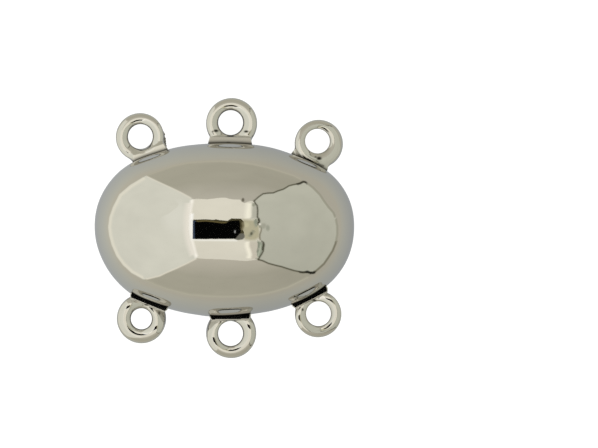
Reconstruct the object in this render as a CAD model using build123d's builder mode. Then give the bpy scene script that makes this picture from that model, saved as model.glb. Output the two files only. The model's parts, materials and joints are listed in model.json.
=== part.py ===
from build123d import *
from collections import namedtuple
import math
import os

# A magnetic clasp in two halves that part in the plane of its widest outline.
# It lies on its flat back: the base is at Z = 0 and the dome is on top.
# X runs along the oval and Y across it, from the front half's loops to the back half's.

# The oval outline, in millimetres
oval_length = 17.76
oval_width = 11.78
# How full the outline's corners are: 0.707 is an ellipse, 1 is a parabola, more is squarer
outline_fullness = 0.906

# The two shells
wall = 0.5
dome_rise = 4.75
dome_fullness = 0.707
back_depth = 2.9
# The back's full belly, which the flat base cuts short
back_bulge = 3.3
back_fullness = 1.0
seam_gap = 0.05

# The plates across the mouths of the shells, and the collar that keeps the halves in line
recess_depth = 1.0
plate_thickness = 0.6
seat_clearance = 0.05
collar_clearance = 0.25
collar_rounding = 0.12
# Between the closed halves' plates, and so between their magnets
face_gap = 0.2

# The disc magnets
magnet_diameter = 6.0
magnet_thickness = 1.5
magnet_clearance = 0.03

# What all loops share: the foot is a flat bar soldered to the shell
foot_width = 2.86
foot_thickness = 0.84
foot_rounding = 0.12
loop_droop = 14
# A ring is wire bent round, with its hole drilled out by this much
hole_drilling = 0.08

# The usual loop: how far its foot is from the oval's middle along X, how far out its hole is
# from the outline, and the radii of its hole and of its outside
loop_spacing = 5.5
loop_standoff = 1.33
loop_hole_radius = 0.83
loop_ring_radius = 1.67

# The front half's feet lie level over the seam, and the back half's slope down under it.
# They reach this far out of the shell.
front_foot_rise = 0.61
front_foot_reach = 0.24
back_foot_drop = 0.75
back_foot_reach = 0.5
Row = namedtuple("Row", "side foot_height foot_droop foot_reach")
front_row = Row(-1, front_foot_rise, 0, front_foot_reach)
back_row = Row(1, -back_foot_drop, loop_droop, back_foot_reach)

Loop = namedtuple("Loop", "row foot_x standoff hole_radius ring_radius")


def sized_loop(row, along, out, hole, ring):
    """A loop from its shares of the usual loop's sizes."""
    return Loop(
        row,
        foot_x=along * loop_spacing,
        standoff=out * loop_standoff,
        hole_radius=hole * loop_hole_radius,
        ring_radius=ring * loop_ring_radius,
    )


# Each loop was bent and soldered by hand, so no two are quite alike
front_loops = [
    sized_loop(front_row, along=-0.95, out=0.95, hole=0.84, ring=1),
    sized_loop(front_row, along=0.073, out=1, hole=1, ring=1.055),
    sized_loop(front_row, along=1.07, out=0.95, hole=1, ring=0.965),
]
back_loops = [
    sized_loop(back_row, along=-0.953, out=1.04, hole=1, ring=1),
    sized_loop(back_row, along=0.073, out=1.04, hole=1, ring=1.055),
    sized_loop(back_row, along=1.053, out=1.015, hole=1, ring=0.975),
]

# Heights that follow
half_length = oval_length / 2
half_width = oval_width / 2
seam = back_depth
front_rim = seam + seam_gap / 2
back_rim = seam - seam_gap / 2
front_face = seam + recess_depth
back_face = front_face - face_gap


def oval_points(along, across, height):
    """The three control points of a quarter of the outline."""
    return [(along, 0, height), (along, across, height), (0, across, height)]


def outline_at(x):
    """The outline's Y at this X, on its positive side, and its outward tilt from Y in degrees."""
    k = 2 * outline_fullness**2 - 1
    short = 1 - abs(x) / half_length
    root = math.sqrt((k**2 - 1) * short**2 + 2 * (k + 1) * short)
    y = half_width * (root - k * short)
    steepness = ((k**2 - 1) * short + k + 1) / root - k
    slope = steepness * half_width / half_length
    return y, math.copysign(math.degrees(math.atan(slope)), x)


def oval_sketch(along, across, height):
    """The oval outline with these half sizes, as a flat face at this height."""
    with BuildSketch(Plane.XY.offset(height)) as sketch:
        with BuildLine():
            Bezier(*oval_points(along, across, 0), weights=[1, outline_fullness, 1])
            mirror(about=Plane.YZ)
            mirror(about=Plane.XZ)
        make_face()
    return sketch.sketch


def dome(along, across, rise, fullness, height):
    """A solid dome on the oval with these half sizes. A negative rise makes it hang."""
    rim = oval_points(along, across, height)
    shoulder = oval_points(along, across, height + rise)
    apex = [(0, 0, height + rise)] * 3
    weights = [
        [outer * around for around in (1, outline_fullness, 1)]
        for outer in (1, fullness, 1)
    ]
    quarter = Face.make_bezier_surface([rim, shoulder, apex], weights)
    half = [quarter, quarter.mirror(Plane.YZ)]
    faces = half + [face.mirror(Plane.XZ) for face in half]
    base = oval_sketch(along, across, height).faces()
    return Solid(Shell(faces + list(base)))


def loop_plane(loop):
    """Where a loop leaves the outline: X points out of the shell, and Z up."""
    y, tilt = outline_at(loop.foot_x)
    out = (
        math.sin(math.radians(tilt)),
        loop.row.side * math.cos(math.radians(tilt)),
        0,
    )
    origin = (loop.foot_x, loop.row.side * y, seam + loop.row.foot_height)
    return Plane(origin=origin, x_dir=out, z_dir=(0, 0, 1))


def ring_plane(loop):
    """The middle of a loop's hole, with X back towards the shell and Z along the hole."""
    droop = math.radians(loop_droop)
    hinge = 0 if loop.row.foot_droop else loop.row.foot_reach
    drop = (loop.standoff - hinge) * math.tan(droop)
    at = loop_plane(loop)
    middle = at.origin + at.x_dir * loop.standoff - at.z_dir * drop
    along_hole = at.x_dir * math.sin(droop) + at.z_dir * math.cos(droop)
    return Plane(origin=middle, x_dir=-at.y_dir.cross(along_hole), z_dir=along_hole)


def make_loop(loop):
    """One loop: a drilled wire ring on a flat foot that reaches into the shell's wall."""
    at = loop_plane(loop)
    foot_root = 0.8 * wall
    ring = ring_plane(loop)
    wire_radius = (loop.ring_radius - loop.hole_radius + hole_drilling) / 2
    wire_middle = loop.ring_radius - wire_radius
    half_wall = math.sqrt(wire_radius**2 - (wire_middle - loop.hole_radius) ** 2)
    with BuildPart() as made:
        with BuildSketch(at.rotated((0, loop.row.foot_droop, 0))):
            with Locations(((loop.row.foot_reach - foot_root) / 2, 0)):
                Rectangle(foot_root + loop.row.foot_reach, foot_width)
        extrude(amount=foot_thickness / 2, both=True)
        foot_end = made.faces().sort_by(Axis(at.origin, at.x_dir))[-1]
        fillet(foot_end.edges(), foot_rounding)
        with BuildSketch(Plane(ring.origin, x_dir=ring.x_dir, z_dir=-ring.y_dir)):
            with BuildLine():
                hole_wall = Line((loop.hole_radius, -half_wall), (loop.hole_radius, half_wall))
                ThreePointArc(hole_wall @ 1, (loop.ring_radius, 0), hole_wall @ 0)
            make_face()
        revolve(axis=Axis(ring.origin, ring.z_dir))
    return made.part


# Front half: the dome, with its loops soldered on, and hollow
front_rings = [make_loop(loop) for loop in front_loops]
front_solid = dome(half_length, half_width, dome_rise, dome_fullness, front_rim)
front_hollow = dome(
    half_length - wall, half_width - wall, dome_rise - wall, dome_fullness, front_rim
)
with BuildPart() as front_shell:
    add(front_solid)
    add(front_rings)
    add(front_hollow, mode=Mode.SUBTRACT)
front_shell.part.label = "front_shell"

# Back half: a shallow pan cut flat at the base, with its own loops
back_rings = [make_loop(loop) for loop in back_loops]
back_solid = dome(half_length, half_width, -back_bulge, back_fullness, back_rim)
back_hollow = dome(
    half_length - wall, half_width - wall, wall - back_bulge, back_fullness, back_rim
)
with BuildPart() as back_cavity:
    add(back_hollow)
    split(bisect_by=Plane.XY.offset(wall), keep=Keep.TOP)
with BuildPart() as back_shell:
    add(back_solid)
    split(bisect_by=Plane.XY, keep=Keep.TOP)
    add(back_rings)
    add(back_cavity.part, mode=Mode.SUBTRACT)
back_shell.part.label = "back_shell"

# The front plate fits the dome's inside, set back from the mouth
inset = wall + seat_clearance
front_seat = dome(
    half_length - inset, half_width - inset, dome_rise - inset, dome_fullness, front_rim
)
with BuildPart() as front_plate:
    add(front_seat)
    split(bisect_by=Plane.XY.offset(front_face), keep=Keep.TOP)
    split(bisect_by=Plane.XY.offset(front_face + plate_thickness), keep=Keep.BOTTOM)
    with Locations((0, 0, front_face)):
        Hole(magnet_diameter / 2 + magnet_clearance)
front_plate.part.label = "front_plate"

# The back plate lies flush in the mouth, and its collar stands up into the dome's mouth
back_seat = dome(
    half_length - inset, half_width - inset, inset - back_bulge, back_fullness, back_rim
)
collar_inset = wall + collar_clearance
with BuildPart() as back_plate:
    add(back_seat)
    split(bisect_by=Plane.XY.offset(back_rim - plate_thickness), keep=Keep.TOP)
    with BuildSketch(Plane.XY.offset(back_rim)):
        add(oval_sketch(half_length - collar_inset, half_width - collar_inset, 0))
    extrude(amount=back_face - back_rim)
    fillet(back_plate.faces().sort_by(Axis.Z)[-1].edges(), collar_rounding)
    with Locations((0, 0, back_face)):
        Hole(magnet_diameter / 2 + magnet_clearance)
back_plate.part.label = "back_plate"

# Each magnet shows its face through the middle of its plate
with BuildPart() as front_magnet:
    with BuildSketch(Plane.XY.offset(front_face)):
        Circle(magnet_diameter / 2)
    extrude(amount=magnet_thickness)
front_magnet.part.label = "front_magnet"

with BuildPart() as back_magnet:
    with BuildSketch(Plane.XY.offset(back_face)):
        Circle(magnet_diameter / 2)
    extrude(amount=-magnet_thickness)
back_magnet.part.label = "back_magnet"

os.makedirs("parts", exist_ok=True)
export_step(front_shell.part, "parts/front_shell.step")
export_step(front_plate.part, "parts/front_plate.step")
export_step(front_magnet.part, "parts/front_magnet.step")
export_step(back_shell.part, "parts/back_shell.step")
export_step(back_plate.part, "parts/back_plate.step")
export_step(back_magnet.part, "parts/back_magnet.step")
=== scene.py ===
from collections import namedtuple
import json
import math

import bpy
import numpy as np
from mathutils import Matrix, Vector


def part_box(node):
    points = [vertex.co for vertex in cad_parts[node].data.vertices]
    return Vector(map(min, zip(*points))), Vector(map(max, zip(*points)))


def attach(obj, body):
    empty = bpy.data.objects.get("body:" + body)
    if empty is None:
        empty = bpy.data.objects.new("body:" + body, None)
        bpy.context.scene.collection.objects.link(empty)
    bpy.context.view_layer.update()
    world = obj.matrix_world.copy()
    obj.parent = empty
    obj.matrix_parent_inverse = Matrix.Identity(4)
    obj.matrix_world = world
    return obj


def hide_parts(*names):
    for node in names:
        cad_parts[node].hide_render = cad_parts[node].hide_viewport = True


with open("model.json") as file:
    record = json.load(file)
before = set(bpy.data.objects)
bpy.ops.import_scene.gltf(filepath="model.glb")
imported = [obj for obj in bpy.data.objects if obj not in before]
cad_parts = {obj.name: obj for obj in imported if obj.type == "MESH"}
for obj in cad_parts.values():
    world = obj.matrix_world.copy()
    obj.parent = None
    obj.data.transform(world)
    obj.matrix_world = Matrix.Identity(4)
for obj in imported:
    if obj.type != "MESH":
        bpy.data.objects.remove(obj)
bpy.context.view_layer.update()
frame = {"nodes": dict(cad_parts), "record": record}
scene = bpy.context.scene

# Metres throughout, and a millimetre in them
mm = 0.001

# The clasp: sizes that its shells, plates and loops share
half_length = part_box("front_shell")[1].x
half_width = 5.89 * mm
outline_fullness = 0.906
wall = 0.5 * mm
seam = 2.9 * mm
seam_gap = 0.05 * mm
dome_rise = 4.75 * mm
back_bulge = 3.3 * mm
edge_rounding = 0.05 * mm
base_rounding = 0.15 * mm
front_rim = seam + seam_gap / 2
back_rim = seam - seam_gap / 2

# How uneven the hand-finished outline is: a little long, bowed up towards its ends,
# and fuller in the middle of its lower side
outline_stretch = 0.004
outline_drop = 0.04 * mm
outline_bow = 0.17 * mm
belly = 0.15 * mm
belly_x = -0.8 * mm
belly_reach = 2.6 * mm
# Dents and bumps by their direction from the middle and width in degrees, and their share
# of the distance from there
Bump = namedtuple("Bump", "towards width height")
bumps = [
    Bump(20, 8, -0.004),
    Bump(43, 15, -0.026),
    Bump(133, 9, -0.011),
    Bump(160, 9, -0.005),
    Bump(195, 9, -0.0055),
    Bump(216, 8, 0.011),
    Bump(252, 6, -0.003),
    Bump(300, 8, 0.004),
]

# The loops: a flat foot soldered to the shell, and a drilled ring of round wire
foot_thickness = 0.92 * mm
foot_root = 0.3 * mm
foot_rounding = 0.06 * mm
foot_flare = 0.12 * mm
foot_apron = 0.2
hole_drilling = 0.02 * mm
hole_edge = 0.03 * mm
# How flat the ring's wire is
wire_flatness = 0.72
loop_cell = 0.033 * mm
# Painted shade reaches this far from the edge on the walls of the holes
wall_shade_reach = 0.09 * mm

# The photograph: its frame, its scale at the seam's height, and the middle of the oval
image_width, image_height = 598, 448
pixels_per_metre = 14.56 / mm
oval_pixel = (224.4, 228.4)
camera_distance = 300 * mm
sensor_width = 36

# The light tent round the clasp, and the card that it lies on
tent_radius = 300 * mm
card_radius = 75 * mm
skirt_elevation = -20
# Between these shares of its radius the tent's colour changes with height
tent_low, tent_high = 0.55, 0.85

# How the shells are divided: round the oval, round an edge, and along the outside and inside
steps_around, edge_steps = 384, 5
dome_steps_outside, dome_steps_inside = 110, 60
back_steps_outside, back_steps_inside = 70, 40
# The lowest row of the dome before its rounded rim, in degrees up from the rim
dome_lowest = 0.8

# The metal's soft patches of polish and its fine scratches
polish_scale, polish_detail = 350, 4
patch_tint = 0.985
scratch_scale, scratch_detail = 2500, 2
scratch_stretch = (1, 14, 6)
scratch_turn = (0.3, 0.2, 0.6)
# Soft noise stays between these
noise_low, noise_high = 0.3, 0.7


def unevenness(x, y):
    """How far the hand-finished outline strays from the plain oval, along Y."""
    bow = outline_bow * (x / half_length) ** 2 - outline_drop
    fuller = belly * np.exp(-(((x - belly_x) / belly_reach) ** 2))
    return bow - fuller * np.clip(-y / half_width, 0, 1) ** 2


def bumpiness(x, y):
    """How much further out the outline lies in a point's direction than without its bumps."""
    towards = np.degrees(np.arctan2(y, x)) % 360
    return 1 + sum(b.height * np.exp(-(((towards - b.towards) / b.width) ** 2)) for b in bumps)


def gauge(x, y):
    """How far out a point is, as a share of the uneven outline: 1 on the outline itself."""
    further = bumpiness(x, y)
    x, y = x / further, y / further
    y = y - unevenness(x, y)
    x = np.abs(x) / half_length / (1 + outline_stretch)
    y = np.abs(y) / half_width
    m = 4 * outline_fullness**2
    total, product = x + y, x * y
    inside = (m - 2) ** 2 * total**2 - 4 * (m - 1) * (m * product - total**2)
    return ((m - 2) * total + np.sqrt(np.maximum(inside, 0))) / (2 * (m - 1))


def dome_height(x, y):
    """The height of the dome's outside over a point."""
    return front_rim + dome_rise * math.sqrt(max(0, 1 - gauge(x, y) ** 2))


def dome_spread(z):
    """The dome's outline at a height, as a share of its widest."""
    share = np.clip((z - front_rim) / dome_rise, 0, 1)
    return np.sqrt(np.maximum(1 - share**2, 1e-6))


def pan_spread(z):
    """The back's outline at a height, as a share of its widest."""
    share = np.clip((back_rim - z) / back_bulge, 0, 1)
    return 1 - (1 - np.sqrt(1 - share)) ** 2


def new_mesh(name, points, faces, material, smooth=True):
    """A mesh object from points and faces, with its material."""
    mesh = bpy.data.meshes.new(name)
    mesh.from_pydata([tuple(p) for p in points], [], [tuple(f) for f in faces])
    if smooth:
        mesh.shade_smooth()
    else:
        mesh.shade_flat()
    mesh.materials.append(material)
    made = bpy.data.objects.new(name, mesh)
    scene.collection.objects.link(made)
    return made


def set_values(made, name, values):
    """One value per point of a mesh, for its material to use."""
    held = made.data.attributes.new(name, "FLOAT", "POINT")
    held.data.foreach_set("value", np.asarray(values, dtype=np.float32))


def to_linear(colour):
    """A colour from 0 to 255, as a screen shows it, turned to linear light."""
    share = [c / 255 for c in colour]
    return [c / 12.92 if c <= 0.04045 else ((c + 0.055) / 1.055) ** 2.4 for c in share]


# Metals


def new_material(name):
    """A node material with nothing but its output."""
    made = bpy.data.materials.new(name)
    made.use_nodes = True
    made.node_tree.nodes.remove(made.node_tree.nodes["Principled BSDF"])
    return made


def feed(owner, node, inputs):
    """Gives a node its inputs by name or number: each is a value or another node's output."""
    for key, value in inputs.items():
        if isinstance(value, bpy.types.NodeSocket):
            owner.node_tree.links.new(value, node.inputs[key])
        else:
            node.inputs[key].default_value = value


def add_node(material, kind, inputs, operation=None):
    """Adds a node of this kind to a material."""
    made = material.node_tree.nodes.new("ShaderNode" + kind)
    if operation:
        made.operation = operation
    feed(material, made, inputs)
    return made


def show(material, shader):
    """Puts a shader on a material's surface."""
    feed(material, material.node_tree.nodes["Material Output"], {"Surface": shader})


def show_mixed(material, share, first, second):
    """Puts two shaders on a material's surface, the second one by this share."""
    mixed = add_node(material, "MixShader", {"Fac": share, 1: first, 2: second})
    show(material, mixed.outputs["Shader"])


def place_on(material):
    """The place on the object, for a material."""
    return add_node(material, "TexCoord", {}).outputs["Object"]


def point_value(material, name):
    """The value of this name that the points of a mesh hold."""
    made = add_node(material, "Attribute", {})
    made.attribute_name = name
    return made.outputs["Fac"]


def noise(material, place, scale, detail=2):
    """Soft noise by place."""
    inputs = {"Vector": place, "Scale": scale, "Detail": detail}
    return add_node(material, "TexNoise", inputs).outputs["Fac"]


def ramp(material, value, stops):
    """The colour at a value from 0 to 1, between stops of position and linear colour."""
    made = add_node(material, "ValToRGB", {"Fac": value})
    while len(made.color_ramp.elements) < len(stops):
        made.color_ramp.elements.new(1)
    for element, (position, colour) in zip(made.color_ramp.elements, stops):
        element.position = position
        element.color = (*colour, 1)
    return made.outputs["Color"]


def map_range(material, value, low, high, low_out, high_out):
    """A value from low to high turned into another from low_out to high_out."""
    inputs = {"From Min": low, "From Max": high, "To Min": low_out, "To Max": high_out}
    return add_node(material, "MapRange", {"Value": value, **inputs}).outputs["Result"]


def metal(name, colour, roughness, patchiness, scratch_depth, shade_and_dirt_colour=None):
    """A polished metal: soft patches of polish and tint, and fine scratches from handling. With
    shade_and_dirt_colour, that dark colour is painted where the piece's crevice
    values are high, as painted shade and as dirt."""
    made = new_material(name)
    place = place_on(made)
    patches = noise(made, place, polish_scale, polish_detail)
    polish = map_range(made, patches, noise_low, noise_high, roughness, roughness + patchiness)
    tinted = [c * patch_tint for c in colour]
    painted = ramp(made, patches, [(noise_low, tinted), (noise_high, colour)])
    # Painted shade and dirt: the dark colour mixed in by the points' values
    if shade_and_dirt_colour:
        mixed = add_node(made, "Mix", {})
        mixed.data_type = "RGBA"
        shade_and_dirt_share = point_value(made, "crevice")
        feed(made, mixed, {"Factor": shade_and_dirt_share, "A": painted, "B": (*shade_and_dirt_colour, 1)})
        painted = mixed.outputs["Result"]

    stretch = {"Vector": place, "Rotation": scratch_turn, "Scale": scratch_stretch}
    stretched = add_node(made, "Mapping", stretch).outputs["Vector"]
    scratches = noise(made, stretched, scratch_scale, scratch_detail)
    relief = add_node(made, "Bump", {"Strength": 1, "Distance": scratch_depth, "Height": scratches})
    shader = add_node(made, "BsdfPrincipled", {
        "Metallic": 1,
        "Roughness": polish,
        "Base Color": painted,
        "Normal": relief.outputs["Normal"],
    })
    show(made, shader.outputs["BSDF"])
    return made


plating_colour = (0.6, 0.585, 0.56)
# The dark colour of the loops' painted shade, and of the solder's dirt
shade_and_dirt_tone = (0.02, 0.018, 0.012)
plate_colour = (0.62, 0.61, 0.59)
nickel_colour = (0.6, 0.6, 0.59)
plating = metal("shell_plating", plating_colour, roughness=0.02, patchiness=0.02, scratch_depth=2e-8)
loop_plating = metal(
    "loop_plating", plating_colour, roughness=0.03, patchiness=0.04, scratch_depth=4e-8,
    shade_and_dirt_colour=shade_and_dirt_tone,
)
plate_metal = metal("plate_metal", plate_colour, roughness=0.22, patchiness=0.1, scratch_depth=1.5e-6)
magnet_nickel = metal(
    "magnet_nickel", nickel_colour, roughness=0.1, patchiness=0.06, scratch_depth=4e-7
)

# The shells


def oval_ring(count):
    """Unit points round the oval outline, starting on the +X axis and going anticlockwise."""
    t = np.linspace(0, 1, count // 4, endpoint=False)
    start, middle, end = (1 - t) ** 2, 2 * t * (1 - t) * outline_fullness, t**2
    total = start + middle + end
    first = np.stack([(start + middle) / total, (middle + end) / total], 1)
    second = np.stack([-first[:, 1], first[:, 0]], 1)
    return np.concatenate([first, second, -first, -second])


def swept_shell(name, profile, material):
    """A closed shell: each profile row is (inset of the outline, share of the way out, height)."""
    around = steps_around
    ring = oval_ring(around)
    points, faces = [], []
    for inset, share, height in profile[1:-1]:
        size = (half_length - inset, half_width - inset)
        row = share * ring * size
        if inset < wall / 2:
            x, y = row[:, 0] * (1 + outline_stretch), row[:, 1] + unevenness(*row.T)
            row = np.stack([x, y], 1) * bumpiness(x, y)[:, None]
        points += [(x, y, height) for x, y in row]
    rows = len(profile) - 2
    for row in range(rows - 1):
        for i in range(around):
            j = (i + 1) % around
            a, b = row * around, (row + 1) * around
            faces.append((a + i, b + i, b + j, a + j))
    first, last = len(points), len(points) + 1
    for inset, share, height in (profile[0], profile[-1]):
        points.append((0, unevenness(0, 0) if inset < wall / 2 else 0, height))
    end = (rows - 1) * around
    for i in range(around):
        j = (i + 1) % around
        faces.append((first, i, j))
        faces.append((last, end + j, end + i))
    return new_mesh(name, points, faces, material)


def rounded_edge(inset, height, start, stop):
    """Profile rows round an edge whose centre is at this inset and height, by angle."""
    radius = edge_rounding
    angles = np.radians(np.linspace(start, stop, edge_steps))
    return [(inset - radius * math.cos(a), 1, height + radius * math.sin(a)) for a in angles]


def dome_profile():
    """The front shell's section: outside from the apex down, round the rim, and inside back up."""
    outside = np.radians(np.linspace(90, dome_lowest, dome_steps_outside))
    inside = np.radians(np.linspace(dome_lowest, 90, dome_steps_inside))
    rows = [(0, math.cos(a), front_rim + dome_rise * math.sin(a)) for a in outside]
    low = front_rim + edge_rounding
    rows += rounded_edge(edge_rounding, low, 0, -90)
    rows += rounded_edge(wall - edge_rounding, low, 270, 180)
    rows += [(wall, math.cos(a), front_rim + (dome_rise - wall) * math.sin(a)) for a in inside]
    return rows


def pan_profile():
    """The back shell's section: inside from the middle up, round the rim, and outside down."""
    rows = [(wall, 0, wall)]
    rows += [(wall, pan_spread(wall) * s, wall) for s in (0.3, 0.6, 0.9, 0.97, 1)]
    heights = np.linspace(wall, back_rim - edge_rounding, back_steps_inside)[1:]
    for z in heights:
        share = (back_rim - z) / (back_bulge - wall)
        rows.append((wall, 1 - (1 - math.sqrt(max(0, 1 - share))) ** 2, z))
    high = back_rim - edge_rounding
    rows += rounded_edge(wall - edge_rounding, high, 180, 90)
    rows += rounded_edge(edge_rounding, high, 90, 0)
    heights = np.linspace(back_rim - 2 * edge_rounding, base_rounding, back_steps_outside)
    rows += [(0, float(pan_spread(z)), z) for z in heights]
    base_share = float(pan_spread(base_rounding))
    for a in np.radians(np.linspace(15, 90, 6)):
        out = base_share - base_rounding * (1 - math.cos(a)) / half_width
        rows.append((0, out, base_rounding * (1 - math.sin(a))))
    rows += [(0, rows[-1][1] * s, 0) for s in (0.97, 0.8, 0.5, 0.2)]
    rows.append((0, 0, 0))
    return rows


front_dome = swept_shell("front_dome", dome_profile(), plating)
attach(front_dome, "front_half")
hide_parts("front_shell")

back_pan = swept_shell("back_pan", pan_profile(), plating)
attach(back_pan, "back_half")
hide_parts("back_shell")

# Places in the photograph


def pixel_place(px, py):
    """The point at the seam's height that a pixel of the photograph shows."""
    x = (px - oval_pixel[0]) / pixels_per_metre
    y = (oval_pixel[1] - py) / pixels_per_metre
    return np.array([x, y, seam])


eye = pixel_place(image_width / 2, image_height / 2) + [0, 0, camera_distance]


def flattened(points):
    """Where the camera sees points on the plane of the seam, without their height."""
    below = (seam - points[:, 2:]) / camera_distance
    return points[:, :2] + (eye[:2] - points[:, :2]) * below


# The loops, each one surface: a flat foot and a ring of wire with a drilled hole


def smooth_min(a, b, reach):
    """The smaller of two distances, with the crease between them rounded over this reach."""
    share = np.maximum(reach - np.abs(a - b), 0) / reach
    return np.minimum(a, b) - share**2 * reach / 4


def shell_distance(p, spread):
    """About how far points are outside a shell."""
    step = 0.01 * mm

    def out(q):
        return gauge(q[..., 0], q[..., 1]) / spread(q[..., 2]) - 1

    here = out(p)
    slope = [(out(p + np.eye(3)[k] * step) - here) / step for k in range(3)]
    return here / np.sqrt(sum(s**2 for s in slope) + 1e-9)


def outline_point(middle, out):
    """Where the line from a hole's middle, straight in, meets the outline."""
    low, high = 0.0, 3 * mm
    for _ in range(40):
        at = (low + high) / 2
        x, y = middle[0] - out[0] * at, middle[1] - out[1] * at
        if gauge(x, y) > 1:
            low = at
        else:
            high = at
    return np.array([middle[0] - out[0] * low, middle[1] - out[1] * low, 0])


def surface_net(distance, low, high, cell):
    """The surface where distance is nought, as points and quads on a grid of cells."""
    axes = [np.arange(a, b + cell, cell) for a, b in zip(low, high)]
    grid = np.stack(np.meshgrid(*axes, indexing="ij"), -1)
    inside = distance(grid) < 0
    corners = [
        inside[i:i - 1 or None, j:j - 1 or None, k:k - 1 or None]
        for i, j, k in np.ndindex(2, 2, 2)
    ]
    count = sum(c.astype(int) for c in corners)
    crossed = (count > 0) & (count < 8)
    number = np.full(crossed.shape, -1)
    number[crossed] = np.arange(crossed.sum())
    points = np.argwhere(crossed) * cell + low + cell / 2
    quads = []
    for k in range(3):
        changes = np.diff(inside.astype(int), axis=k)
        back_u, back_v = np.eye(3, dtype=int)[[(k + 1) % 3, (k + 2) % 3]]
        for sign in (1, -1):
            at = np.argwhere(changes == sign)
            ring = [at - back_u - back_v, at - back_v, at, at - back_u]
            if sign == 1:
                ring = ring[::-1]
            quads.append(np.stack([number[tuple(r.T)] for r in ring], 1))
    return points, np.concatenate(quads)


def gradient(distance, p, step=0.002 * mm):
    """The direction straight out of a surface at points, and how fast distance grows there."""
    offsets = np.eye(3) * step
    parts = [(distance(p + offset) - distance(p - offset)) / (2 * step) for offset in offsets]
    return np.stack(parts, -1)


# A row of loops: its body, its shell, its feet's droop in degrees and the width of the painted
# shade at its joint
Row = namedtuple("Row", "body spread foot_droop tarnish")
front_row = Row("front_half", dome_spread, 0, 0.07)
back_row = Row("back_half", pan_spread, 17, 0.17)

# A loop's ring: its outer radius and how far that is off the hole's middle, in millimetres, how
# far its hole was drilled into the wire, the slope at its far end, which way that slope faces from
# straight out, how it curls across, and how far it was bent up.
Ring = namedtuple("Ring", "name row outside off_x off_y drilled slope lean roll lift")
rings = [
    Ring("back_left_loop", back_row, 1.662, -0.035, -0.035, 0.02, 0.18, -8, 0.1, 0.1),
    Ring("back_middle_loop", back_row, 1.762, 0.07, -0.06, 0.02, 0.14, 2, 0.1, 0),
    Ring("back_right_loop", back_row, 1.665, 0.094, -0.185, 0.12, 0.25, -12, 0, 0.2),
    Ring("front_left_loop", front_row, 1.69, 0, 0, 0.02, 0.15, 20, 0.01, 0.12),
    Ring("front_middle_loop", front_row, 1.725, 0.037, 0.03, 0.02, 0.16, -5, 0.1, 0.15),
    Ring("front_right_loop", front_row, 1.595, -0.02, -0.03, 0.08, 0.12, 14, 0.17, 0.05),
]

# A ring's bend close to its foot: how much less it slopes there, how far out it bends, over what
# length and how askew. Past side_at it also falls away sideways, by side_fall.
Bend = namedtuple("Bend", "less at over skew side_at side_fall", defaults=(0, 0.6, 0))
straight = Bend(0, 0.7, 0.7)
bends = {
    "front_left_loop": Bend(0.5, 0.97, 0.35, 0.28),
    "front_middle_loop": Bend(0.47, 0.9, 0.45, -0.3, -0.6, 0.26),
    "front_right_loop": Bend(0.46, 0.55, 0.4),
}
# The length over which that fall sets in, and how far its start shifts to the side per length
# further out
side_over = 0.15 * mm
side_turn = 0.35

# A foot, in millimetres: how high its top is over the seam, how far it reaches, how wide it is,
# how far it is off the ring's middle and how softly it runs into the ring
Foot = namedtuple("Foot", "top reach wide off blend")
feet = {
    "back_left_loop": Foot(-0.32, 0.44, 2.3, -0.16, 0.4),
    "back_middle_loop": Foot(-0.25, 0.49, 2.8, 0, 0.18),
    "back_right_loop": Foot(-0.4, 0.48, 2.5, -0.14, 0.16),
    "front_left_loop": Foot(1.05, 0.2, 2.5, 0.05, 0.08),
    "front_middle_loop": Foot(0.92, 0.24, 2.6, 0, 0.08),
    "front_right_loop": Foot(0.78, 0.24, 2.5, 0, 0.08),
}

# Painted dark reflections of the camera and painted shade where the rings meet their feet: dark
# spots by pixel, half sizes in pixels and strength
DarkSpot = namedtuple("DarkSpot", "px py wide high strength")
painted_dark_spots = [
    DarkSpot(216, 130.8, 2.6, 1.4, 1),
    DarkSpot(212.6, 131.6, 1.2, 1, 0.7),
    DarkSpot(246.2, 131.5, 2.4, 1.2, 1),
    DarkSpot(228.4, 142.4, 5, 0.9, 0.9),
    DarkSpot(319.1, 158.4, 2.7, 1.8, 1),
    DarkSpot(315.6, 157, 1.4, 1, 0.7),
    DarkSpot(146.2, 304.8, 2.2, 1.1, 0.8),
    DarkSpot(159.2, 313, 1.2, 1.8, 0.7),
    DarkSpot(233, 321.4, 3.6, 0.8, 0.7),
    DarkSpot(302.6, 309.6, 1.2, 1.5, 0.9),
    DarkSpot(314.5, 300.3, 2.2, 1, 1),
]

# A hole's wall gets painted shade all round, more to the right, and most on its far side, which
# starts this share of the hole's radius before its middle. The painted shade fades where the wall
# turns up, and underneath it reaches further.
wall_shade = 0.25
wall_shade_right = 0.3
wall_far_start = 0.2
wall_up_start, wall_up_fade = 0.95, 1.5
underside_reach = 2

# How far the grid for a loop goes: past the ring, past the foot, and below and above both
ring_margin = 0.2 * mm
foot_margin = 0.5 * mm
ring_below, ring_above = 1.1 * mm, 1 * mm
foot_below, foot_above = 1.3 * mm, 0.3 * mm

mounts = {m["name"]: m for m in frame["record"]["mounts"]}
Place = namedtuple("Place", "middle out side foot_at reach hole")


def place_loop(name):
    """Where a loop's mount puts it: its hole's middle, the ways out and sideways, where it leaves
    the outline, how far out from there its hole is, and the hole's radius."""
    mount = mounts[name]
    middle = np.array(mount["pos_m"])
    out = np.array([mount["axis"][0], mount["axis"][1], 0])
    out /= np.linalg.norm(out)
    closer = (seam - middle[2]) / camera_distance
    middle[:2] += (middle[:2] - eye[:2]) * closer
    foot_at = outline_point(middle, out)
    hole = mount["dims"]["r_mm"] * mm + hole_drilling
    return Place(middle, out, np.cross([0, 0, 1], out), foot_at, (middle - foot_at) @ out, hole)


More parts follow.
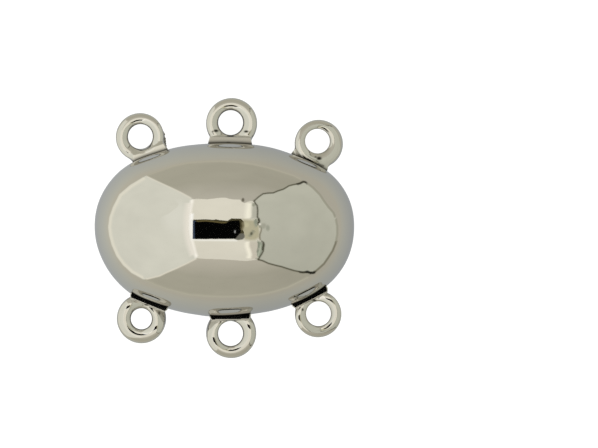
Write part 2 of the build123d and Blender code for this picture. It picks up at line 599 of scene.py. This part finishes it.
def ring_distance(loop, place):
    """A function of how far out, how far sideways and how high points are, that gives how far
    they are from a loop's bent ring of wire."""
    bend = bends.get(loop.name, straight)
    bend_at, bend_over, side_at = bend.at * mm, bend.over * mm, bend.side_at * mm
    height = place.middle[2] + loop.lift * mm
    turned = loop.slope * math.tan(math.radians(loop.lean))
    inner = place.hole - loop.drilled * mm
    off = np.array([loop.off_x, loop.off_y, 0]) * mm
    off_out, off_side = off @ place.out, off @ place.side

    def fall(s, t):
        past = (s - bend_at - bend.skew * t) / bend_over
        bent = bend.less / 2 * bend_over * np.log(np.cosh(past))
        beyond = math.copysign(1, side_at) * t - abs(side_at) - side_turn * (s - place.reach)
        sideways = bend.side_fall * side_over * np.log1p(np.exp(beyond / side_over))
        return (loop.slope - bend.less / 2) * s + bent + sideways

    def distance(s, t, h):
        ds = s - place.reach
        from_hole = np.hypot(ds, t)
        along_off = (ds * off_out + t * off_side) / np.maximum(from_hole, 1e-9)
        outer = along_off + np.sqrt((loop.outside * mm) ** 2 - off @ off + along_off**2)
        wire_height = height - (fall(s, t) - fall(place.reach, 0)) - turned * t
        over = (h - wire_height - loop.roll / mm * t**2 / 2) / wire_flatness
        return np.hypot(from_hole - (outer + inner) / 2, over) - (outer - inner) / 2

    return distance


def foot_distance(foot, foot_droop):
    """The same for a loop's foot: a flat, rounded bar, wider at its root."""
    droop = math.radians(foot_droop)
    reach, top = foot.reach * mm, seam + foot.top * mm
    middle = np.array([(reach - foot_root) / 2, foot.off * mm, -foot_thickness / 2])
    half = np.array([(reach + foot_root) / 2, foot.wide * mm / 2, foot_thickness / 2])

    def distance(s, t, h):
        up = h - top + foot_apron * np.maximum(s - reach + foot_rounding, 0)
        along = s * math.cos(droop) - up * math.sin(droop)
        over = s * math.sin(droop) + up * math.cos(droop)
        beyond = np.abs(np.stack([along, t, over], -1) - middle) - half
        beyond[..., 1] -= foot_flare * np.clip(1 - along / reach, 0, 1)
        beyond += foot_rounding
        outside = np.linalg.norm(np.maximum(beyond, 0), axis=-1)
        return outside + np.minimum(beyond.max(-1), 0) - foot_rounding

    return distance


def loop_painted_shade(loop, place, points, normals):
    """How dark a loop is at each point, as painted shade at its joint and on its hole's wall, and
    painted dark reflections and shade in spots where the ring meets its foot.
    """
    # Painted shade in the crevice where the loop meets its shell
    joint = np.maximum(shell_distance(points, loop.row.spread), 0) / (loop.row.tarnish * mm)
    # Painted shade on the hole's wall: most on its far side, more to the right, less where it faces up
    from_middle = points - place.middle
    inwards = (np.linalg.norm(from_middle[:, :2], axis=-1) - place.hole) / wall_shade_reach
    inwards /= 1 + underside_reach * np.clip(-2 * normals[:, 2], 0, 1)
    not_up = np.clip(wall_up_start - wall_up_fade * normals[:, 2], 0, 1)
    far = np.clip(from_middle @ place.out / place.hole + wall_far_start, 0, 1)
    right = np.clip(from_middle[:, 0] / place.hole, 0, 1)
    shade = np.clip(wall_shade + far * not_up + wall_shade_right * right, 0, 1)
    dark = np.maximum(np.exp(-(joint**2)), shade * np.exp(-(inwards**2)))
    # Painted dark reflections and shade in spots where the rings meet their feet
    seen = flattened(points)
    for dark_spot in painted_dark_spots:
        off = (seen - pixel_place(dark_spot.px, dark_spot.py)[:2]) * pixels_per_metre
        spread = ((off / [dark_spot.wide, dark_spot.high]) ** 2).sum(-1)
        dark = np.maximum(dark, dark_spot.strength * np.exp(-(spread**2)) * (normals[:, 2] > 0))
    return dark


def make_loop(loop):
    """One loop, placed by the hole that its mount gives."""
    place, foot = place_loop(loop.name), feet[loop.name]
    ring_away, foot_away = ring_distance(loop, place), foot_distance(foot, loop.row.foot_droop)

    def distance(p):
        q = p - place.foot_at
        s, t, h = q @ place.out, q @ place.side, p[..., 2]
        made = smooth_min(ring_away(s, t, h), foot_away(s, t, h), foot.blend * mm)
        return -smooth_min(-made, np.hypot(s - place.reach, t) - place.hole, hole_edge)

    ring_span = loop.outside * mm + ring_margin
    foot_span = foot.wide * mm / 2 + abs(foot.off * mm) + foot_margin
    low = np.minimum(place.middle - ring_span, place.foot_at - foot_span)
    high = np.maximum(place.middle + ring_span, place.foot_at + foot_span)
    foot_top = seam + foot.top * mm
    low[2] = min(place.middle[2] - ring_below, foot_top - foot_below)
    high[2] = max(place.middle[2] + ring_above, foot_top + foot_above)
    points, quads = surface_net(distance, low, high, loop_cell)
    for _ in range(6):
        slope = gradient(distance, points)
        size = np.maximum((slope**2).sum(-1, keepdims=True), 0.1)
        step = distance(points)[:, None] * slope / size
        points = points - np.clip(step, -loop_cell, loop_cell)
    normals = gradient(distance, points)
    normals /= np.linalg.norm(normals, axis=-1, keepdims=True)
    made = new_mesh(loop.name + "_ring", points, quads, loop_plating)
    made.data.normals_split_custom_set_from_vertices(normals.tolist())
    set_values(made, "crevice", loop_painted_shade(loop, place, points, normals))
    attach(made, loop.row.body)


for ring in rings:
    make_loop(ring)

# Solder that ran up beside the back's left ring: its lumps by pixel, with their radii in
# millimetres, and how far it lies under the seam
Lump = namedtuple("Lump", "px py radius")
burr_lumps = [
    Lump(164.9, 148.2, 0.13),
    Lump(165.3, 146, 0.1),
    Lump(165, 143.4, 0.09),
    Lump(164.4, 141.2, 0.12),
    Lump(164.8, 138.6, 0.08),
    Lump(163.4, 136.6, 0.1),
    Lump(164.2, 134.2, 0.07),
    Lump(162.6, 131.6, 0.09),
]
burr_drop = 0.95 * mm
burr_cell = 0.02 * mm
burr_margin = 0.25 * mm
burr_blend = 0.03 * mm
# Between its lumps the run is this share of their size
burr_waist = 0.75
burr_dirt = 0.6


def make_burr():
    """A thin, lumpy run of solder."""
    scale = 1 + burr_drop / camera_distance
    places = np.array([eye + (pixel_place(b.px, b.py) - eye) * scale for b in burr_lumps])
    lumps = [(at, lump.radius * mm) for at, lump in zip(places, burr_lumps)]

    def distance(p):
        made = np.full(p.shape[:-1], 1.0)
        for (a, ra), (b, rb) in zip(lumps, lumps[1:]):
            along = np.clip(((p - a) @ (b - a)) / ((b - a) @ (b - a)), 0, 1)
            size = burr_waist * (ra + (rb - ra) * along)
            rod = np.linalg.norm(p - a - along[..., None] * (b - a), axis=-1) - size
            ball = np.linalg.norm(p - a, axis=-1) - ra
            made = smooth_min(made, np.minimum(rod, ball), burr_blend)
        return made

    low, high = places.min(0) - burr_margin, places.max(0) + burr_margin
    points, quads = surface_net(distance, low, high, burr_cell)
    for _ in range(4):
        points = points - distance(points)[:, None] * gradient(distance, points)
    made = new_mesh("solder_burr", points, quads, loop_plating)
    set_values(made, "crevice", np.full(len(points), burr_dirt))
    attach(made, "back_half")


make_burr()

# The plates and the magnets keep their own solids, and get their metals
for half in ("front", "back"):
    for kind, material in (("plate", plate_metal), ("magnet", magnet_nickel)):
        shown = frame["nodes"][f"{half}_{kind}"].data.materials
        shown.clear()
        shown.append(material)

# The camera, straight above, as far to the right of the clasp as in the photograph
camera_data = bpy.data.cameras.new("camera")
camera_data.sensor_width = sensor_width
camera_data.lens = pixels_per_metre * camera_distance * sensor_width / image_width
camera_data.clip_start = 0.01
camera_data.clip_end = 10
camera = bpy.data.objects.new("camera", camera_data)
camera.location = eye
scene.collection.objects.link(camera)
scene.camera = camera

# The light tent. Its pieces are placed by where the dome mirrors them in the photograph, so their
# outlines, middles, widths and half sizes are in its pixels. A depth is the share of the tent's
# radius at which a piece hangs, and a colour, from 0 to 255, is the one that the metal shows.
Panel = namedtuple(
    "Panel", "name outline middle colour top depth uneven lean", defaults=(None, 1, 0.03, (0, 0))
)
Patch = namedtuple("Patch", "name outline middle colour depth fade", defaults=(0.3,))
Line = namedtuple("Line", "name pixels width colour depth", defaults=(0.8,))
Smudge = namedtuple("Smudge", "name middle size colour depth", defaults=(0.78,))
cloud_scale = 12
# A smudge's corners, and how solid it is at a share of the way out
smudge_corners = 16
smudge_core, core_solid = 0.5, 0.85


def mirrored(px, py, radius=tent_radius):
    """The point on a tent of this radius that the dome mirrors at a pixel."""
    ray = pixel_place(px, py) - eye
    ray /= np.linalg.norm(ray)
    z = seam + dome_rise / 2
    for _ in range(60):
        at = eye + ray * (z - eye[2]) / ray[2]
        z = (z + dome_height(at[0], at[1])) / 2
    step = 0.0001 * mm
    x, y = at[0], at[1]
    slope_x = (dome_height(x + step, y) - dome_height(x - step, y)) / (2 * step)
    slope_y = (dome_height(x, y + step) - dome_height(x, y - step)) / (2 * step)
    normal = np.array([-slope_x, -slope_y, 1])
    normal /= np.linalg.norm(normal)
    back = ray - 2 * (ray @ normal) * normal
    start = at - [0, 0, seam]
    along = -(start @ back) + math.sqrt((start @ back) ** 2 - start @ start + radius**2)
    return at + back * along


def seen_as(colour):
    """The light that looks this colour, from 0 to 255, when the clasp's metal mirrors it."""
    return [c / m for c, m in zip(to_linear(colour), plating_colour)]


def glow(name, colour, top=None, uneven=0, lean=(0, 0)):
    """A lit piece by the colour that the metal shows: another one towards the tent's top, cloudy
    by its unevenness, and lighter to one side by its lean. It is clear where solid is 0."""
    made = new_material(name)
    place = place_on(made)
    height = add_node(made, "SeparateXYZ", {"Vector": place}).outputs["Z"]
    up = map_range(made, height, tent_low * tent_radius, tent_high * tent_radius, 0, 1)
    shade = ramp(made, up, [(0, seen_as(colour)), (1, seen_as(top or colour))])
    clouds = noise(made, place, cloud_scale)
    level = map_range(made, clouds, noise_low, noise_high, 1 - uneven, 1 + uneven)
    slant = (lean[0] / tent_radius, lean[1] / tent_radius, 0)
    across = add_node(made, "VectorMath", {0: place, 1: slant}, "DOT_PRODUCT").outputs["Value"]
    strength = add_node(made, "Math", {0: level, 1: across}, "ADD").outputs["Value"]
    light = add_node(made, "Emission", {"Color": shade, "Strength": strength})
    clear = add_node(made, "BsdfTransparent", {})
    solid = point_value(made, "solid")
    show_mixed(made, solid, clear.outputs["BSDF"], light.outputs["Emission"])
    return made


def tent_part(name, points, faces, material, solid=None):
    """A part of the tent, which only the metal sees. Its edges can fade: solid is 1 to 0."""
    made = new_mesh(name, points, faces, material, smooth=False)
    set_values(made, "solid", np.ones(len(points)) if solid is None else solid)
    made.visible_camera = False
    made.visible_shadow = False


def finer(points, closed, longest=5):
    """The same line of pixels with no step longer than this."""
    line = []
    ends = zip(points, points[1:] + points[:1] if closed else points[1:])
    for (x0, y0), (x1, y1) in ends:
        steps = max(1, math.ceil(math.hypot(x1 - x0, y1 - y0) / longest))
        line += [(x0 + (x1 - x0) * i / steps, y0 + (y1 - y0) * i / steps) for i in range(steps)]
    return line if closed else line + [points[-1]]


def make_panel(row):
    """A panel of the tent whose mirror image has this outline."""
    radius = tent_radius * row.depth
    rim = [mirrored(x, y, radius) for x, y in finer(row.outline, closed=True)]
    count = len(rim)
    faces = [(i, (i + 1) % count, count) for i in range(count)]
    material = glow(row.name, row.colour, row.top, row.uneven, row.lean)
    tent_part(row.name, rim + [mirrored(*row.middle, radius)], faces, material)


def make_soft(row, rim, share, solid):
    """A piece that is clear at its rim, and this solid at a share of the way out to it."""
    radius = tent_radius * row.depth
    inner = [[m + (c - m) * share for c, m in zip(pixel, row.middle)] for pixel in rim]
    points = [mirrored(x, y, radius) for x, y in (*rim, *inner, row.middle)]
    count = len(rim)
    faces = []
    for i in range(count):
        j = (i + 1) % count
        faces.append((i, j, count + j, count + i))
        faces.append((count + i, count + j, 2 * count))
    values = [0] * count + [solid] * count + [1]
    tent_part(row.name, points, faces, glow(row.name, row.colour), values)


def make_patch(row):
    """A panel whose edge fades out, over this share of the way in to its middle."""
    make_soft(row, finer(row.outline, closed=True), 1 - row.fade, 1)


def make_smudge(row):
    """A soft oval spot in the tent."""
    (x, y), (wide, high) = row.middle, row.size
    turns = np.linspace(0, -2 * math.pi, smudge_corners, endpoint=False)
    rim = [(x + wide * math.cos(a), y + high * math.sin(a)) for a in turns]
    make_soft(row, rim, smudge_core, core_solid)


def make_line(row):
    """A soft line in the tent, which fades out to this width on both sides and at its ends."""
    track = finer(row.pixels, closed=False, longest=2)
    points = []
    for i, (x, y) in enumerate(track):
        x0, y0 = track[max(i - 1, 0)]
        x1, y1 = track[min(i + 1, len(track) - 1)]
        size = math.hypot(x1 - x0, y1 - y0)
        dx, dy = -(y1 - y0) / size * row.width, (x1 - x0) / size * row.width
        for away in (-1, 0, 1):
            points.append(mirrored(x + dx * away, y + dy * away, tent_radius * row.depth))
    starts = [3 * i + k for i in range(len(track) - 1) for k in (0, 1)]
    faces = [(a, a + 1, a + 4, a + 3) for a in starts]
    solid = np.tile([0, 1, 0], len(track))
    solid[[1, -2]] = 0
    tent_part(row.name, points, faces, glow(row.name, row.colour), solid)


makers = {Panel: make_panel, Patch: make_patch, Line: make_line, Smudge: make_smudge}

# Corners and edges of the panels, in pixels of the photograph
ceiling_nw, ceiling_ne = (192.5, 198.9), (254.2, 200.8)
ceiling_sw, ceiling_se = (197, 258.2), (258.3, 259.6)
left_nw, left_sw = (145.6, 175.9), (144.3, 279.6)
right_ne, right_se = (306.4, 182.6), (313.8, 272.6)
ceiling_north = [
    (199.4, 199), (207, 199.3), (213.4, 198.6), (220.3, 197.7), (226.1, 197.7), (228.5, 198.7),
    (233.1, 199.4), (240.1, 199.6), (241.8, 201.9), (244.7, 203.1), (247, 202), (250.5, 200.9),
]
ceiling_south = [(247, 260.9), (240.1, 260.7), (231.9, 260), (222.7, 259.4), (205.2, 258.9)]
ceiling_west = [
    (194.6, 251.5), (192.5, 243), (190.3, 234.5), (189.6, 226), (189.6, 217), (190.6, 207),
]
wrinkled_top = [
    (255.3, 203.4), (257.2, 205.8), (257.7, 210), (257.5, 217), (259, 220.2), (259.2, 221.8),
    (257.8, 223.6), (258.3, 225.6),
]
wrinkled_middle = [(260.8, 227), (261.4, 229), (260.8, 231.6), (259.8, 234.6), (259.8, 238.4)]
wrinkled_low = [
    (260.6, 240.8), (263.3, 242.4), (263.8, 245), (263, 248.4), (263.2, 251), (261.6, 254),
    (259.4, 257.4),
]
wrinkled_edge = wrinkled_top + wrinkled_middle + wrinkled_low
left_horizon = [
    (130, 185.1), (119.4, 194.3), (113, 207), (109.5, 217), (108.2, 227), (109.2, 235.5),
    (111.8, 245.2), (116.6, 256.2), (123, 265), (131.5, 272.8),
]
left_top = [(158, 181.9), (170, 187.4), (181.1, 192.7)]
left_low = [(159.7, 275.9), (165.5, 273), (176, 268.5), (187, 263.4)]
right_horizon = [
    (313.2, 187.9), (319.9, 194.7), (324, 201), (328.3, 206.9), (333.3, 212.6), (335.6, 218),
    (337.2, 226), (337.2, 234.3), (335.5, 243.6), (332.7, 250.6), (328.1, 257.8), (324, 263.7),
    (318.6, 268.6),
]
north_horizon = [
    (159.8, 170.9), (174, 165.9), (188.2, 163.1), (205.9, 161.7), (223, 161.3), (240, 162.4),
    (253.6, 164.4), (267.1, 167.4), (280.7, 171.5), (294.2, 175.9),
]
south_horizon = [
    (305, 278.8), (296.9, 282.9), (287.4, 287.5), (273.9, 291.6), (260.3, 294.5), (240, 296.5),
    (222, 296.9), (205.9, 296.2), (189.6, 294.7), (178.3, 292), (166.9, 289), (155.6, 284.9),
]
right_top = [
    (256.3, 198.9), (259, 196.6), (263, 193.8), (267.8, 193.1), (273.2, 192.9), (277.9, 190.9),
    (283.4, 189.2), (286.7, 187.2), (289, 185.8), (292.8, 184.8), (298.3, 183.7), (301.5, 182.4),
    (304.4, 181.9),
]
right_low = [
    (307, 272.3), (301, 272), (294.2, 270.6), (287.4, 268.6), (282, 266.8), (275.2, 265.2),
    (268.5, 263.4), (262.4, 260.6),
]

tent_panels = [
    Panel("tent_ceiling",
          [ceiling_nw, *ceiling_north, ceiling_ne, *wrinkled_edge, ceiling_se, *ceiling_south,
           ceiling_sw, *ceiling_west],
          (224, 229), (214, 208, 190), (215, 210, 193), lean=(0, 0.05)),
    Panel("tent_left",
          [ceiling_nw, *ceiling_west[::-1], ceiling_sw, *left_low[::-1], left_sw,
           *left_horizon[::-1], left_nw, *left_top],
          (150, 228), (206, 204, 189), (207, 205, 190)),
    Panel("tent_right",
          [ceiling_ne, *right_top, right_ne, *right_horizon, right_se, *right_low, ceiling_se,
           *wrinkled_edge[::-1]],
          (295, 228), (177, 176, 160), (180, 179, 163), lean=(0, 0.1)),
    Panel("tent_north",
          [ceiling_nw, *left_top[::-1], left_nw, *north_horizon, right_ne, *right_top[::-1],
           ceiling_ne, *ceiling_north[::-1]],
          (224, 182), (162, 158, 141), (177, 172, 157), lean=(-0.09, 0)),
    Panel("tent_south",
          [ceiling_se, *right_low[::-1], right_se, *south_horizon, left_sw, *left_low, ceiling_sw,
           *ceiling_south[::-1]],
          (224, 278), (161, 157, 140), (180, 174, 158), lean=(-0.09, 0)),
]
for piece in tent_panels:
    make_panel(piece)

# The floor in the metal, with its light and shade painted in: its colour by how near it is, from
# far off (0) to the clasp (1), greyer close by as the clasp's painted shade, and its painted
# brightness from the left (0) to the right (1), all over, and on the front loops' side
Shade = namedtuple("Shade", "nearness colour")
ground_shades = [
    Shade(0, (172, 167, 151)),
    Shade(0.2, (169, 167, 154)),
    Shade(0.4, (163, 163, 154)),
    Shade(0.6, (156, 157, 151)),
    Shade(0.8, (145, 146, 144)),
    Shade(1, (130, 131, 132)),
]
Level = namedtuple("Level", "across bright")
ground_levels = [Level(0, 1), Level(0.25, 0.92), Level(0.6, 0.82), Level(1, 0.84)]
ground_bright = 1.14
ground_front = 0.95


def ground_glow(name):
    """The white floor as the metal shows it, with light and shade painted in: greyer close by as the
    clasp's painted shade, warmer far off and to the left.
    """
    made = new_material(name)
    share = (1 / half_length, 1 / half_width, 0)
    scaled = add_node(made, "VectorMath", {0: place_on(made), 1: share}, "MULTIPLY")
    scaled = scaled.outputs["Vector"]
    away = add_node(made, "VectorMath", {0: scaled}, "LENGTH").outputs["Value"]
    nearness = add_node(made, "Math", {0: 1, 1: away}, "DIVIDE").outputs["Value"]
    shade = ramp(made, nearness, [(s.nearness, seen_as(s.colour)) for s in ground_shades])

    facing = add_node(made, "VectorMath", {0: scaled}, "NORMALIZE").outputs["Vector"]
    apart = add_node(made, "SeparateXYZ", {"Vector": facing}).outputs
    side = map_range(made, apart["X"], -1, 1, 0, 1)
    level = ramp(made, side, [(row.across, [row.bright] * 3) for row in ground_levels])
    bright = add_node(made, "Math", {0: level, 1: ground_bright}, "MULTIPLY").outputs["Value"]
    front = map_range(made, apart["Y"], -1, 0, ground_front, 1)
    strength = add_node(made, "Math", {0: bright, 1: front}, "MULTIPLY").outputs["Value"]
    light = add_node(made, "Emission", {"Color": shade, "Strength": strength})
    show(made, light.outputs["Emission"])
    return made


ground = ground_glow("mirrored_ground")


def skirt(name, horizon_pixels):
    """The tent's foot: from the panels' lower edges down past the floor."""
    top = [mirrored(x, y) for x, y in finer(horizon_pixels, closed=True)]
    count = len(top)
    angle = math.radians(skirt_elevation)
    low = []
    for p in top:
        flat = np.array([p[0], p[1], 0]) / math.hypot(p[0], p[1])
        low.append(tent_radius * (flat * math.cos(angle) + [0, 0, math.sin(angle)]))
    faces = [(i, (i + 1) % count, count + (i + 1) % count, count + i) for i in range(count)]
    tent_part(name, top + low, faces, ground)


horizon = [left_nw, *north_horizon, right_ne, *right_horizon, right_se, *south_horizon, left_sw]
skirt("tent_skirt", [*horizon, *left_horizon[::-1]])

# The hems and seams of the panels
hem = (221, 216, 198)
hems = [
    Line("hem_left",
         [(145.6, 177.6), (131.5, 186.4), (120.8, 195.4), (114.5, 207.6), (111, 217.4),
          (109.8, 227), (110.8, 235.2), (113.3, 244.6), (118, 255.4), (124.2, 263.9),
          (132.4, 271.5), (144.3, 278.2)],
         2.4, hem),
    Line("hem_left_top", [left_nw, *left_top, ceiling_nw], 1.3, (216, 211, 194)),
    Line("hem_left_low", [left_sw, *left_low, ceiling_sw], 1.3, (218, 212, 194)),
    Line("hem_north", [left_nw, *north_horizon, (302, 180)], 1.6, (173, 168, 150)),
    Line("hem_south", [(309, 276.5), *south_horizon, left_sw], 1.8, (172, 168, 150)),
    Line("seam_left_soft", [(189, 202), (187, 216), (186.8, 230), (189, 243), (193.4, 256)], 5,
         (228, 222, 208)),
    Line("seam_left", [ceiling_nw, *ceiling_west[::-1], ceiling_sw], 2.8, (248, 243, 230)),
    Line("seam_left_core", [(191.6, 213), (191, 222), (191.2, 233), (192.4, 241)], 3,
         (255, 254, 248)),
    Line("ceiling_rim_top", [(249.6, 202.5), (248.6, 207), (248, 212), (248.2, 219)], 5,
         (241, 236, 216)),
    Line("ceiling_rim_low", [(247, 241), (247, 246), (248.6, 251), (249.6, 255), (248.4, 259)], 3.6,
         (242, 236, 216)),
]

# The cloth beside the crumpled gap on the right
folds = [
    Patch("gap_shade_top",
          [(251, 201.2), (250, 206), (250.8, 211), (251, 215), (249.8, 220), (259, 220.4),
           (258, 216), (258.4, 211.7), (258, 206.9), (254.8, 201.4)],
          (254.6, 211), (178, 176, 160), 0.86),
    Patch("gap_shade_low",
          [(248.6, 240.6), (248.4, 246), (250.4, 250), (251.6, 255), (250.6, 260), (258.4, 260),
           (260, 250), (258.8, 240.4)],
          (254.5, 250), (196, 189, 172), 0.86, fade=0.2),
    Patch("gap_fold_low",
          [(257, 239.2), (256.6, 246), (256, 252), (254.6, 260), (258.4, 260), (261.4, 255),
           (263.4, 250), (263.8, 244.5), (261.6, 240.6)],
          (259.6, 249), (150, 155, 137), 0.86, fade=0.25),
    Patch("warm_patch",
          [(241.6, 217.6), (250, 218), (258.2, 219), (260.6, 227), (261, 233), (260.6, 239),
           (256, 242), (250, 242.2), (243.8, 241), (241.2, 230)],
          (251, 230), (176, 170, 142), 0.85, fade=0.28),
]

# The gap itself
gap = (58, 56, 38)
gaps = [
    Line("gap_top", [(252.6, 202), ceiling_ne, *right_top, right_ne], 1.2, (66, 64, 44)),
    Line("gap_top_end", [(296, 184.6), (300.5, 183.4), (303.3, 181.6), (305.6, 182.2), (308, 184.2)],
         1.6, (24, 22, 12)),
    Line("gap_wrinkled_top", [(255.4, 200), ceiling_ne, *wrinkled_top], 1.4, gap),
    Line("gap_wrinkled_middle", [wrinkled_top[-1], *wrinkled_middle, wrinkled_low[0]], 1.3,
         (118, 112, 92)),
    Line("gap_wrinkled_low", [*wrinkled_low, ceiling_se, (256.6, 260)], 1.4, gap),
    Line("gap_fold", [(255.6, 218.5), (255.2, 223), (257, 227.4)], 2.6, (146, 150, 132)),
    Line("gap_fold_middle", [(258.4, 226.8), (261.4, 227.2), (265, 227.4)], 2, (158, 158, 141)),
    Line("gap_knot_top", [(258, 218), (259.1, 221), (257.8, 224)], 2, (44, 43, 28)),
    Line("gap_knot_low", [(262.6, 242), (263.7, 244.5), (263, 248.4), (263.1, 251)], 1.9, (60, 58, 42)),
    Line("gap_edge_low", [(257.6, 241.4), (258.8, 243.6), (258, 249), (257, 253)], 1.3,
         (126, 130, 114)),
    Line("gap_fold_light", [(260.6, 244), (260.4, 249), (259, 253), (258.2, 257)], 1, (176, 180, 160)),
    Line("gap_low", [(256.8, 259.2), ceiling_se, *right_low[::-1], right_se], 1.3, (70, 67, 48)),
    Line("gap_low_end",
         [(298, 271.8), (303, 272.5), (307.5, 271.8), (310.6, 272.9), (313.4, 272.6),
          (316.4, 270.4)],
         1.5, (14, 12, 4)),
    Line("gap_low_knot", [(304.6, 272.4), (307.5, 271.7), (310.6, 273), (313.6, 272.7), (315.4, 271.6)],
         1.9, (0, 0, 0), 0.79),
    Line("gap_right_top", [right_ne, *right_horizon[:6]], 1.6, (148, 146, 128)),
    Line("gap_right_mid", right_horizon[5:9], 1.6, (150, 148, 130)),
    Line("gap_right_low", [(336.6, 240), *right_horizon[8:], right_se, (312, 273.6)], 1.6,
         (108, 104, 84)),
]

# Soft marks on the panels
marks = [
    Smudge("glow_left", (176, 217), (17, 20), (215, 213, 199), 0.95),
    Smudge("mark_gap", (263.8, 225.6), (3.4, 3.4), (160, 159, 143), 0.88),
    Smudge("mark_gap_top", (253.4, 204.8), (2, 2.4), (148, 149, 130)),
    Smudge("mark_ceiling", (243, 199.9), (1.9, 2.6), (96, 90, 76)),
    Line("mark_warm", [(249, 237.4), (250.8, 234.6), (252.6, 232), (254.6, 229.8)], 2.6,
         (142, 141, 121)),
    Smudge("mark_warm_core", (251.4, 233.6), (1.7, 2.2), (88, 88, 70), 0.77),
    Smudge("mark_tan", (246.4, 225), (3.6, 3.6), (190, 184, 152)),
    Smudge("mark_knot", (259.8, 224.2), (1.5, 1.3), (222, 218, 204)),
    Smudge("mark_side", (267.8, 228), (2.6, 4), (152, 153, 137)),
    Smudge("mark_fold", (256, 221.6), (2.2, 3.4), (138, 142, 125)),
]

# The camera's own front, which the dome mirrors as a black block
camera_parts = [
    Line("camera_shine", [(190.4, 239.6), (200, 240), (220, 240.2), (238, 240.4)], 1.7,
         (236, 234, 222), 0.79),
    Panel("camera_rim_top",
          [(192.8, 219.7), (205, 219.3), (214, 219.7), (224, 221.6), (228, 220.6), (231.4, 218.4),
           (241, 218.6), (243.6, 221.4), (244.2, 226), (242.6, 229), (244, 232), (244, 234.6),
           (239, 235), (239.4, 223.6), (226, 223.4), (196, 222)],
          (237, 221.6), (66, 61, 40), depth=0.77),
    Line("camera_gold", [(196, 221.4), (206, 220.9), (214, 221.7), (222, 222.8), (227, 222.2)],
         0.8, (104, 92, 56), 0.745),
    Line("camera_edge", [(242.4, 221), (243.4, 226), (242, 231)], 1.8, (128, 120, 92), 0.76),
    Panel("camera_rim_left", [(192.8, 220.2), (192.6, 238.9), (196, 239.1), (196, 221)],
          (194, 230), (52, 62, 78), depth=0.765),
    Patch("camera_knob",
          [(234.6, 239.8), (236.4, 236), (238.6, 233.6), (242.6, 232.8), (245.2, 234.6),
           (245.2, 237.4), (243, 239.8), (238, 240.4)],
          (240.4, 236.8), (104, 102, 92), 0.762, fade=0.2),
    Panel("camera_front",
          [(194.6, 221.8), (205, 221.2), (214, 221.8), (224.5, 223.4), (228.5, 222.8),
           (231.5, 220.6), (239, 220.4), (240.2, 223), (240.1, 228), (241.1, 230.4), (240.5, 233),
           (238.5, 235), (236.8, 237), (235.6, 238.9), (194.8, 239.1)],
          (216, 230.5), (3, 3, 3), depth=0.75, uneven=0),
    Smudge("camera_glint", (235, 231.7), (1.1, 2), (150, 150, 148), 0.73),
]
for piece in hems + folds + gaps + marks + camera_parts:
    makers[type(piece)](piece)

# The floor: a white one for the camera, and the card that the metal mirrors, a hair over it
floor_radius = 3
floor_height = -0.01 * mm
card_height = -0.005 * mm
floor_corners = 64
paper_grey = 0.3
paper_glow = 0.95
white = (1, 1, 1, 1)


def disc(name, radius, material, height):
    """A flat round floor."""
    angles = np.linspace(0, 2 * math.pi, floor_corners, endpoint=False)
    points = [(radius * math.cos(a), radius * math.sin(a), height) for a in angles]
    made = new_mesh(name, points, [range(floor_corners)], material, smooth=False)
    return made


def white_floor():
    """Lit paper, which shows only a hint of shade where the clasp rests, clear from below."""
    made = new_material("white_floor")
    paper = add_node(made, "BsdfPrincipled", {
        "Base Color": (paper_grey, paper_grey, paper_grey, 1),
        "Roughness": 1,
        "Specular IOR Level": 0,
        "Emission Color": white,
        "Emission Strength": paper_glow,
    })
    below = add_node(made, "NewGeometry", {}).outputs["Backfacing"]
    clear = add_node(made, "BsdfTransparent", {}).outputs["BSDF"]
    show_mixed(made, below, paper.outputs["BSDF"], clear)
    return made


floor = disc("floor", floor_radius, white_floor(), floor_height)
floor.visible_glossy = False
card = disc("card", card_radius, ground, card_height)
card.visible_camera = False
card.visible_diffuse = False
card.visible_shadow = False

world = bpy.data.worlds.new("world")
scene.world = world
world.use_nodes = True
feed(world, world.node_tree.nodes["Background"], {"Color": white, "Strength": 1})
scene.view_settings.view_transform = "Standard"
